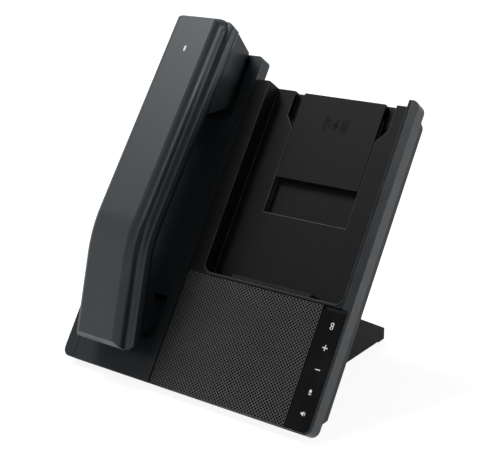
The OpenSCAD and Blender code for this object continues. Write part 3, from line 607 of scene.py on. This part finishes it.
# Blocks over the earpiece and the microphone, and what is let into the underside
block_half = half_w - 1.4
contact_y = end_low + 23.2
contact_x, contact_r = 6, 1.65
contact_pad_half = (10, 3.5)
ear_opening_half, ear_opening_corner = 14.2, 4
key_spots, key_r = (51.5, 61.5), 3.65
screw_spot, screw_r, screw_depth = 44, 2.5, 20.2
light_y = end_low + 94.18
light_half = (0.75, 2)


def at_depth(edge, depth):
    """True if the edge lies at a depth of an upright section."""
    return all(abs(vert.co.z + depth) < TOUCHING for vert in edge.verts)


def sweep(name, rungs, rounds=()):
    """Carries a section along the handset's back. Rungs are (half width, depth), deepest first.

    Rounds are (depth, radius) of the long edges that get rounded."""
    (first_half, first), (next_half, second) = rungs[:2]
    bpy.ops.object.select_all(action="DESELECT")
    bpy.ops.mesh.primitive_plane_add(size=1, location=(0, 0, -(first + second) / 2),
                                     rotation=(math.pi / 2, 0, 0))
    bpy.context.object.scale = (2 * first_half, first - second, 1)
    piece = settle(bpy.context.object, name)

    choose(piece, "EDGE", lambda e: at_depth(e, second))
    bpy.ops.transform.resize(value=(next_half / first_half, 1, 1), center_override=(0, 0, 0))
    close()
    for (half, depth), (new_half, new_depth) in zip(rungs[1:], rungs[2:]):
        choose(piece, "EDGE", lambda e: at_depth(e, depth))
        bpy.ops.mesh.extrude_edges_move(TRANSFORM_OT_translate={"value": (0, 0, depth - new_depth)})
        bpy.ops.transform.resize(value=(new_half / half, 1, 1), center_override=(0, 0, 0))
        close()
    choose(piece, "FACE", lambda face: True)
    bpy.ops.mesh.extrude_region_move(TRANSFORM_OT_translate={"value": (0, upper_run, 0)})
    close()
    for depth, radius in rounds:
        round_edges(piece, radius, 5, lambda e: runs(e, 1) and abs(middle(e).z + depth) < TOUCHING
                    and abs(middle(e).x) > 1)
    total = upper_tilt + lower_tilt
    choose(piece, "FACE", lambda face: middle(face).y < TOUCHING)
    bpy.ops.mesh.spin(steps=bend_steps, angle=-total, center=(0, 0, -bend_r), axis=(1, 0, 0))
    down = (0, -lower_run * math.cos(total), -lower_run * math.sin(total))
    bpy.ops.mesh.extrude_region_move(TRANSFORM_OT_translate={"value": down})
    bpy.ops.mesh.select_all(action="SELECT")
    bpy.ops.mesh.remove_doubles(threshold=TOUCHING / 2)
    bpy.ops.mesh.normals_make_consistent(inside=False)
    close()
    piece.data.transform(ALONG_GRIP)
    return piece


def end_form(inset):
    """Solid that ends both handset shells, with slopes at the foot and the tip."""
    x = half_w + 5 - inset
    form = block("ends", (grip_x - x, end_low + inset, -20), (grip_x + x, end_high - inset, 60))
    foot = end_low + inset
    tip = tip_y - inset
    under_foot = (foot, 13.2), (end_low + 24.4 + inset, -2.4)
    over_foot = (end_low + 7 + inset, 33), (foot, 19)
    under_tip = (tip - 9.3, -2.4), (tip, tip_z)
    over_tip = (tip, tip_z), (tip - 5.9, 42)
    trim_side(form, under_foot, over_foot, under_tip, over_tip)
    return form


def corner_form():
    """Upright block whose plan corners are round."""
    form = block("corners", (grip_x - half_w, end_low, -20), (grip_x + half_w, end_high, 60))
    round_edges(form, plan_corner, 8, lambda e: runs(e, 2))
    return form


def light_slot():
    """Cutter for the slot of the status light."""
    across, along = light_half
    slot = block("light_slot", (-across, light_y - along, -4), (across, light_y + along, 1))
    round_edges(slot, across - 0.01, 6, lambda e: runs(e, 2))
    slot.data.transform(ALONG_GRIP)
    return slot


def back_corners():
    """Cutter that rounds both corners at the tip of the raised back, down to its shoulder."""
    bottom, top = -6, 15
    waste = block("back_corners", (-half_w - 3, -back_corner - 0.5, bottom), (half_w + 3, 6, top))
    kept = block("kept", (-wall_half, -40, bottom - 1), (wall_half, TOUCHING, top + 1))
    round_edges(kept, back_corner, 8, lambda e: runs(e, 2) and middle(e).y > -1)
    cut(waste, kept)
    waste.data.transform(Matrix.Translation((grip_x, tip_y, tip_z)) @ Matrix.Rotation(tip_lean, 4, "X"))
    shoulder = Vector((0, 0, 0.1 - shoulder_top))
    slice_off(waste, ALONG_GRIP @ shoulder, ALONG_GRIP.to_3x3() @ Vector((0, 0, -1)))
    return waste


def outer_shell():
    """The back half: raised flat back with chamfers, and a shoulder down to the seam."""
    rungs = ((half_w, seam), (half_w, shoulder_foot), (wall_half, shoulder_top),
             (wall_half, chamfer_depth), (face_half, 0))
    rounds = ((0, 1.6), (chamfer_depth, 1.4), (shoulder_top, 2.2), (shoulder_foot, 1.5))
    shell = sweep("handset_outer", rungs, rounds)
    combine(shell, "INTERSECT", end_form(0), corner_form())
    cut(shell, back_corners())
    inside, wall_inside = half_w - shell_wall, wall_half - shell_wall
    hollow = sweep("hollow", ((inside, seam + 3), (inside, shoulder_foot + shell_wall),
                              (wall_inside, shoulder_top + shell_wall),
                              (wall_inside, chamfer_depth + 0.8), (face_half - 1, shell_wall)))
    combine(hollow, "INTERSECT", end_form(shell_wall))
    cut(shell, hollow, light_slot())
    soften(shell, 0.7, 3)
    place(shell, "handset", "handset_plastic", "handset_outer_shell")


def ear_block(inset):
    """Block over the earpiece, with a two-part slope towards the grip."""
    x = block_half - inset
    form = block("ear_block", (grip_x - x, end_high - 70, 1 + inset),
                 (grip_x + x, end_high + 5, 19.5 + inset))
    foot, tip = end_high - 45.1 + inset, end_high - 8 - inset
    knee = foot - 8.5, 13.8
    trim_side(form, ((foot - 15.6, 23.9), knee), (knee, (foot, 1)), ((tip, 1), (tip + 6, 21.7)))
    round_edges(form, 4.5, 6,
                lambda e: runs(e, 0) and abs(middle(e).y - foot) < 3 and middle(e).z < 5)
    return form


def mouth_block(inset):
    """Block over the microphone, with a slope at each end."""
    x = block_half - inset
    form = block("mouth_block", (grip_x - x, end_low - 5, 0.4 + inset),
                 (grip_x + x, end_low + 58, 30))
    knee = end_low + 38.5 - inset, 9.5
    trim_side(form, ((end_low + 10.2 + inset, 10.9), (end_low + 17.5 + inset, 0.4)),
              ((end_low + 29 - inset, 0.4), knee), (knee, (end_low + 50.8 - inset, 23.8)),
              ((end_low + 56.3, 23.2 + inset), (end_low + 5.3, 5.5 + inset)))
    round_edges(form, 3, 5, lambda e: runs(e, 0) and middle(e).z < 3)
    return form


def grip_hole(name, spot, radius, depth):
    """Cutter for a hole square to the grip's underside; spot is along the grip from the bend."""
    hole = peg(name, (0, spot), radius, -grip_depth - 1, -depth)
    hole.data.transform(ALONG_GRIP)
    return hole


def inner_shell():
    """The front half: the grip's underside with the ear and mouth blocks."""
    grip_half = half_w - 5
    rungs = ((grip_half, grip_depth), (half_w, grip_edge), (half_w, seam + 0.4))
    shell = sweep("handset_inner", rungs, ((grip_depth, 2.2), (grip_edge, 1.6)))
    combine(shell, "UNION", ear_block(0), mouth_block(0))
    combine(shell, "INTERSECT", end_form(0), corner_form())
    x, y = contact_pad_half
    combine(shell, "UNION", block("contact_pad", (grip_x - x, contact_y - y, -1.6),
                                  (grip_x + x, contact_y + y, 2.4)))
    inside = half_w - shell_wall
    hollow = sweep("hollow", ((grip_half - 1, grip_depth - shell_wall), (inside, grip_edge - 0.8),
                              (inside, seam - 2)))
    combine(hollow, "UNION", ear_block(shell_wall), mouth_block(mouth_wall))
    combine(hollow, "INTERSECT", end_form(shell_wall))
    cut(shell, hollow)
    spot, half = (ear_low + ear_high) / 2, ear_opening_half
    opening = block("ear_opening", (spot.x - half, spot.y - half, -5),
                    (spot.x + half, spot.y + half, 6))
    round_edges(opening, ear_opening_corner, 6, lambda e: runs(e, 2))
    cut(shell, opening)
    for side in (-1, 1):
        cut(shell, peg("contact_hole", (grip_x + side * contact_x, contact_y), contact_r, -3, -1))
    for spot in key_spots:
        cut(shell, grip_hole("key_hole", spot, key_r, grip_edge))
    cut(shell, grip_hole("screw_well", screw_spot, screw_r, screw_depth))
    soften(shell, 0.5, 3)
    place(shell, "handset", "handset_inner", "handset_inner_shell")


# ---- dock ----

dock_low = Vector((slab_box("front_shell")[0].x, 0, slab_box("rear_cover")[1].z))
dock_high = slab_box("front_shell")[1]
dock_corner, under_corner, face_corner = 5, 3, 4.2
frame_wall, frame_roof = 2.2, 4.4
panel_low, panel_high = slab_box("cradle_panel")
panel_thick, panel_corner = 2.4, 3
grille_low, grille_high = slab_box("speaker_grille")
touch_low, touch_high = slab_box("touch_strip")
gap = 0.2
groove = 0.3

# Pockets of the cradle as half width and (lower, upper) end, and the room for each in the shell
# as its middle up the slab, half width and length
ear_half, ear_pocket = 21.4, (end_high - 54.1, end_high - 10.9)
mouth_half, mouth_pocket = 23.4, (end_low + 11, end_low + 39)
ear_bed, mouth_bed = (187, 23, 48), (end_low + 25, 25, 31)
pocket_deep, pocket_wall = 4.2, 1.4
pocket_toe, pocket_side = 4, 3.2

# Phone tray, the charging plate's track in it and the rails that hold the plate
tray_low, tray_high = slab_box("phone_tray")
tray_left, tray_right = tray_low.x + 10, tray_high.x - 1.5
tray_foot = slab_box("phone_rest_pad")[0].y
tray_deep, tray_wall, tray_floor = 11.5, 1.5, 1.6
well_corner = 5
plate_low, plate_high = slab_box("charging_plate")
plate_x = (plate_low.x + plate_high.x) / 2
plate_half = (plate_high.x - plate_low.x) / 2 - 1.2
track_half = plate_half + 0.35
track_end = plate_low.y - 22.85
track_deep = 4.5
bed_reach, bed_deep = 7.9, 5.9
rail_reach, rail_low, rail_high = 1.2, 3.2, 1.4
notch_long, notch_straight, notch_reach = 24, 16.5, 6.3
plate_thick, plate_corner, plate_skin = 3, 0.6, 1.2
tongue_low, tongue_high = 2.7, 1.7


def front_frame():
    """The dock's front shell: a frame round the beds of the panel, the tray and the grille."""
    bed, top = tray_wall + gap, dock_high.y + 1
    shell = block("front_frame", dock_low, dock_high)
    round_edges(shell, dock_corner, 8, lambda e: runs(e, 2))
    wall = Vector((frame_wall, frame_wall, 0))
    hollow = block("underside", dock_low + wall - Vector((0, 0, 1)),
                   Vector((dock_high.x, dock_high.y, -frame_roof)) - wall)
    round_edges(hollow, under_corner, 5, lambda e: runs(e, 2))
    panel_bed = block("panel_bed", (panel_low.x - gap, -1, -panel_thick - 0.1),
                      (panel_high.x + gap, top, 1))
    rib_bed = block("rib_bed", (panel_high.x - 1, tray_foot - bed, -panel_thick - 0.1),
                    (tray_right, top, 1))
    tray_bed = block("tray_bed", (tray_left - bed, tray_foot - bed, -20), (tray_right + bed, top, 1))
    face_bed = block("face_bed", (panel_high.x, grille_low.y - gap, touch_low.z - 0.1),
                     (touch_high.x + gap, tray_foot - bed, 1))
    round_edges(face_bed, face_corner, 7,
                lambda e: runs(e, 2) and middle(e).x > touch_high.x and middle(e).y < 2)
    cut(shell, hollow, panel_bed, rib_bed, tray_bed, face_bed)
    for y, half, length in (ear_bed, mouth_bed):
        cut(shell, block("pocket_bed", (grip_x - half, y - length / 2, -7),
                         (grip_x + half, y + length / 2, 1)))
    soften(shell, 0.4)
    place(shell, "dock", "slate_shell", "front_shell")


def pocket(name, half, ends, ramp):
    """Cutter for a cradle pocket with a sloping lower wall and round corners."""
    form = block(name, (grip_x - half, ends[0], -pocket_deep), (grip_x + half, ends[1], 2))
    trim_side(form, ((ends[0], 0), (ends[0] + ramp, -pocket_deep)))
    round_edges(form, pocket_toe, 6, lambda e: runs(e, 0) and middle(e).z < 0.5 - pocket_deep
                and middle(e).y < ends[0] + ramp + 1)
    round_edges(form, pocket_side, 6, lambda e: abs(middle(e).x - grip_x) > half - 0.1
                and not runs(e, 0) and not runs(e, 1))
    return form


def cradle():
    """The panel that the handset lies on, with its pockets and the slot for the charge pins."""
    left, right = panel_low.x + groove, panel_high.x - groove
    panel = block("cradle", (left, panel_low.y, -panel_thick), (right, panel_high.y, 0))
    head = block("cradle_head", (left, dock_high.y + gap, dock_low.z), (right, panel_high.y, -0.5))
    combine(panel, "UNION", head)
    round_edges(panel, panel_corner, 6, lambda e: runs(e, 2) and middle(e).y > panel_high.y - 0.1)
    for half, ends in ((ear_half, ear_pocket), (mouth_half, mouth_pocket)):
        x = half + pocket_wall
        tub = block("tub", (grip_x - x, ends[0] - pocket_wall, -pocket_deep - pocket_wall),
                    (grip_x + x, ends[1] + pocket_wall, -0.2))
        combine(panel, "UNION", tub)
    cut(panel, pocket("ear_pocket", ear_half, ear_pocket, 7))
    cut(panel, pocket("mouth_pocket", mouth_half, mouth_pocket, 5))
    x, y = contact_pad_half[0] + 0.1, contact_pad_half[1] + 0.1
    cut(panel, block("pin_slot", (grip_x - x, contact_y - y, -12), (grip_x + x, contact_y + y, 1)))
    soften(panel, 0.5)
    place(panel, "dock", "cradle_plastic", "cradle_panel")


def tray():
    """The phone tray: a well with the plate's track in its floor, a rib and a lip."""
    top, foot = dock_high.y, tray_foot - tray_wall
    left, right = tray_left - tray_wall, tray_right + tray_wall
    tub = block("tray", (left, foot, -tray_deep - tray_floor), (right, top, 0))
    bed = block("track_bed",
                (plate_x - track_half - bed_reach, track_end - tray_wall, -tray_deep - bed_deep),
                (plate_x + track_half + bed_reach, top, -tray_deep))
    rib = block("rib", (tray_low.x, foot, -panel_thick), (tray_left, top, 0))
    lip = block("lip", (left, foot, -panel_thick), (tray_right, tray_foot, 0))
    combine(tub, "UNION", bed, rib, lip)
    well = block("well", (tray_left, tray_foot, -tray_deep), (tray_right, top + 20, 2))
    round_edges(well, well_corner, 6, lambda e: runs(e, 2) and middle(e).y < tray_foot + 1)
    track = block("track", (plate_x - track_half, track_end, -tray_deep - track_deep),
                  (plate_x + track_half, top + 1, 1))
    x = track_half + rail_reach
    rails = block("rails", (plate_x - x, track_end, -tray_deep - rail_low),
                  (plate_x + x, top - 1.5, -tray_deep - rail_high))
    cut(tub, well, track, rails)
    for side in (-1, 1):
        inner = plate_x + side * (track_half - 1)
        outer = plate_x + side * (track_half + notch_reach)
        notch = block("notch", (min(inner, outer), top - notch_long, -tray_deep - track_deep),
                      (max(inner, outer), top + 1, 1))
        slice_off(notch, (outer, top - notch_straight, 0), (side * 7.5, -6.3, 0))
        cut(tub, notch)
    soften(tub, 0.5)
    place(tub, "dock", "tray_plastic", "phone_tray")


def charging_pad():
    """The sliding plate, hollow for its coil, with tongues that run in the rails."""
    top, wall = plate_high.z, 1.5
    left, right = plate_x - plate_half, plate_x + plate_half
    pad = block("charging_pad", (left, plate_low.y, top - plate_thick), (right, plate_high.y, top))
    round_edges(pad, plate_corner, 4, lambda e: runs(e, 2))
    tongues = block("tongues", (plate_low.x, plate_low.y + 1, top - tongue_low),
                    (plate_high.x, plate_high.y - 10, top - tongue_high))
    combine(pad, "UNION", tongues)
    cut(pad, block("coil_room", (left + wall, plate_low.y + wall, top - plate_thick - 1),
                   (right - wall, plate_high.y - wall, top - plate_skin)))
    soften(pad, 0.3)
    place(pad, "charger", "tray_plastic", "charging_plate")


def grille():
    """Sheet with rows of square holes, set cornerwise."""
    pitch, land, sheet_thick, count = 1.6, 0.2, 0.5, 84
    centre = (grille_low + grille_high) / 2
    bpy.ops.object.select_all(action="DESELECT")
    bpy.ops.mesh.primitive_plane_add(size=pitch, location=(0, 0, 0))
    holed = settle(bpy.context.object, "grille")
    choose(holed, "FACE", lambda face: True)
    bpy.ops.mesh.inset(thickness=land)
    bpy.ops.mesh.extrude_region_move(TRANSFORM_OT_translate={"value": (0, 0, -sheet_thick)})
    bpy.ops.mesh.delete(type="FACE")
    close()
    for step in ((pitch, 0, 0), (0, pitch, 0)):
        apply(holed, "ARRAY", count=count, use_relative_offset=False, use_constant_offset=True,
              constant_offset_displace=step, use_merge_vertices=True, merge_threshold=0.01)
    half = pitch * (count - 1) / 2
    turn = Matrix.Rotation(math.radians(45), 4, "Z") @ Matrix.Translation((-half, -half, 0))
    holed.data.transform(Matrix.Translation((centre.x, centre.y, grille_high.z)) @ turn)
    for point, normal in ((grille_low, (-1, 0, 0)), (grille_low, (0, -1, 0)),
                          (grille_high, (1, 0, 0)), (grille_high, (0, 1, 0))):
        choose(holed, "FACE", lambda face: True)
        bpy.ops.mesh.bisect(plane_co=point, plane_no=normal, clear_outer=True)
        close()
    place(holed, "dock", "grille")


def grille_cloth():
    """Dark cloth low behind the perforated sheet."""
    cloth = block("grille_cloth", grille_low, (grille_high.x, grille_high.y, grille_low.z + 0.3))
    soften(cloth, 0.1)
    place(cloth, "dock", "grille", "speaker_grille")
    cloth.material_slots[0].material = backing_cloth()


def rest_pad():
    """Rubber strip that the phone's foot stands on."""
    pad = block("rest_pad", *slab_box("phone_rest_pad"))
    round_edges(pad, 0.8, 4, lambda e: runs(e, 2))
    soften(pad, 0.4, 3)
    place(pad, "dock", "rubber", "phone_rest_pad")


def softened(name, body, slot, width):
    """A CAD node's shape with its flats joined up and its edges rounded a little."""
    piece = bpy.data.objects.new(name + "_moulding", nodes[name].data.copy())
    bpy.context.scene.collection.objects.link(piece)
    soften(piece, width * MM, near=0.005 * MM)
    place(piece, body, slot, name, frame_matrix=Matrix.Identity(4))


for make in (outer_shell, inner_shell, front_frame, cradle, tray, charging_pad, grille,
             grille_cloth, rest_pad):
    make()
softened("rear_cover", "dock", "dark_shell", 0.6)
softened("stand_body", "stand", "stand_plastic", 0.5)


# ---- camera, light and floor ----

LENS, SENSOR = 82.16, 36
EYE = (0.3798, -0.4740, 0.3013)
LOOKS_ALONG = (-0.5539, 0.7720, -0.3118)
# Each soft light: name, place, point it faces, size in metres and watts
SOFT_LIGHTS = (
    ("key", (-0.96, -0.24, 2.3), (0, 0, 0.12), (0.9, 0.9), 52),
    ("sheen", (-1.24, -0.5, 1.8), (0, 0, 0.12), (1.1, 1.1), 8),
    ("foot", (-0.52, -0.8, 0.35), (0, -0.05, 0.05), (0.5, 0.3), 0.25),
    ("side", (1.25, 0.62, 0.3), (0, 0.05, 0.12), (0.3, 0.5), 6),
)
SKY_LEVEL = 0.2
FLOOR_PALE, FLOOR_GLOW = 0.3, 0.9
FLOOR_SIZE, BACKDROP_R, BACKDROP_HIGH = 24, 11, 4
WHITE = (1, 1, 1, 1)


def put(name, data, spot, along):
    """Puts a camera or a light at its spot, turned to look along a direction."""
    thing = bpy.data.objects.new(name, data)
    bpy.context.scene.collection.objects.link(thing)
    thing.location = spot
    thing.rotation_mode = "QUATERNION"
    thing.rotation_quaternion = Vector(along).to_track_quat("-Z", "Y")
    return thing


def camera():
    data = bpy.data.cameras.new("view")
    data.lens = LENS
    data.sensor_width = SENSOR
    data.clip_start = 0.02
    data.clip_end = 20
    bpy.context.scene.camera = put("view", data, EYE, LOOKS_ALONG)


def softbox(name, spot, target, size, power):
    data = bpy.data.lights.new(name, "AREA")
    data.shape = "RECTANGLE"
    data.size, data.size_y = size
    data.energy = power
    put(name, data, spot, Vector(target) - Vector(spot))


def sky():
    """Even pale light from all round."""
    made = bpy.data.worlds.new("studio")
    made.use_nodes = True
    bpy.context.scene.world = made
    sockets = made.node_tree.nodes["Background"].inputs
    sockets["Color"].default_value = WHITE
    sockets["Strength"].default_value = SKY_LEVEL


def floor_paint():
    """Pale card that keeps the shadow and looks white, straight on and in reflections."""
    paint = Paint("floor")
    pale = (FLOOR_PALE, FLOOR_PALE, FLOOR_PALE, 1)
    tint = paint.blend(paint.noise(3, 2.0), pale, shade(pale, 0.98))
    card = paint.node("ShaderNodeBsdfDiffuse", None, {"Color": tint})
    glow = paint.node("ShaderNodeEmission", None, {"Color": WHITE, "Strength": FLOOR_GLOW})
    bright = paint.node("ShaderNodeAddShader", None, {0: card, 1: glow})
    rays = [paint.node("ShaderNodeLightPath", output="Is %s Ray" % kind)
            for kind in ("Camera", "Glossy", "Transmission")]
    seen = {0: rays[0] + rays[1] + rays[2], 1: card, 2: bright}
    paint.end(paint.node("ShaderNodeMixShader", None, seen))
    return paint.material


def floor():
    """Floor and round backdrop."""
    bpy.ops.object.select_all(action="DESELECT")
    bpy.ops.mesh.primitive_plane_add(size=FLOOR_SIZE, location=(0, 0, 0))
    ground = settle(bpy.context.object, "floor")
    bpy.ops.object.select_all(action="DESELECT")
    bpy.ops.mesh.primitive_cylinder_add(vertices=96, radius=BACKDROP_R, depth=BACKDROP_HIGH,
                                        end_fill_type="NOTHING", location=(0, 0, BACKDROP_HIGH / 2))
    backdrop = settle(bpy.context.object, "backdrop")
    card = floor_paint()
    for part in (ground, backdrop):
        part.data.materials.append(card)


camera()
sky()
for light in SOFT_LIGHTS:
    softbox(*light)
floor()

bpy.context.scene.view_settings.view_transform = "Standard"
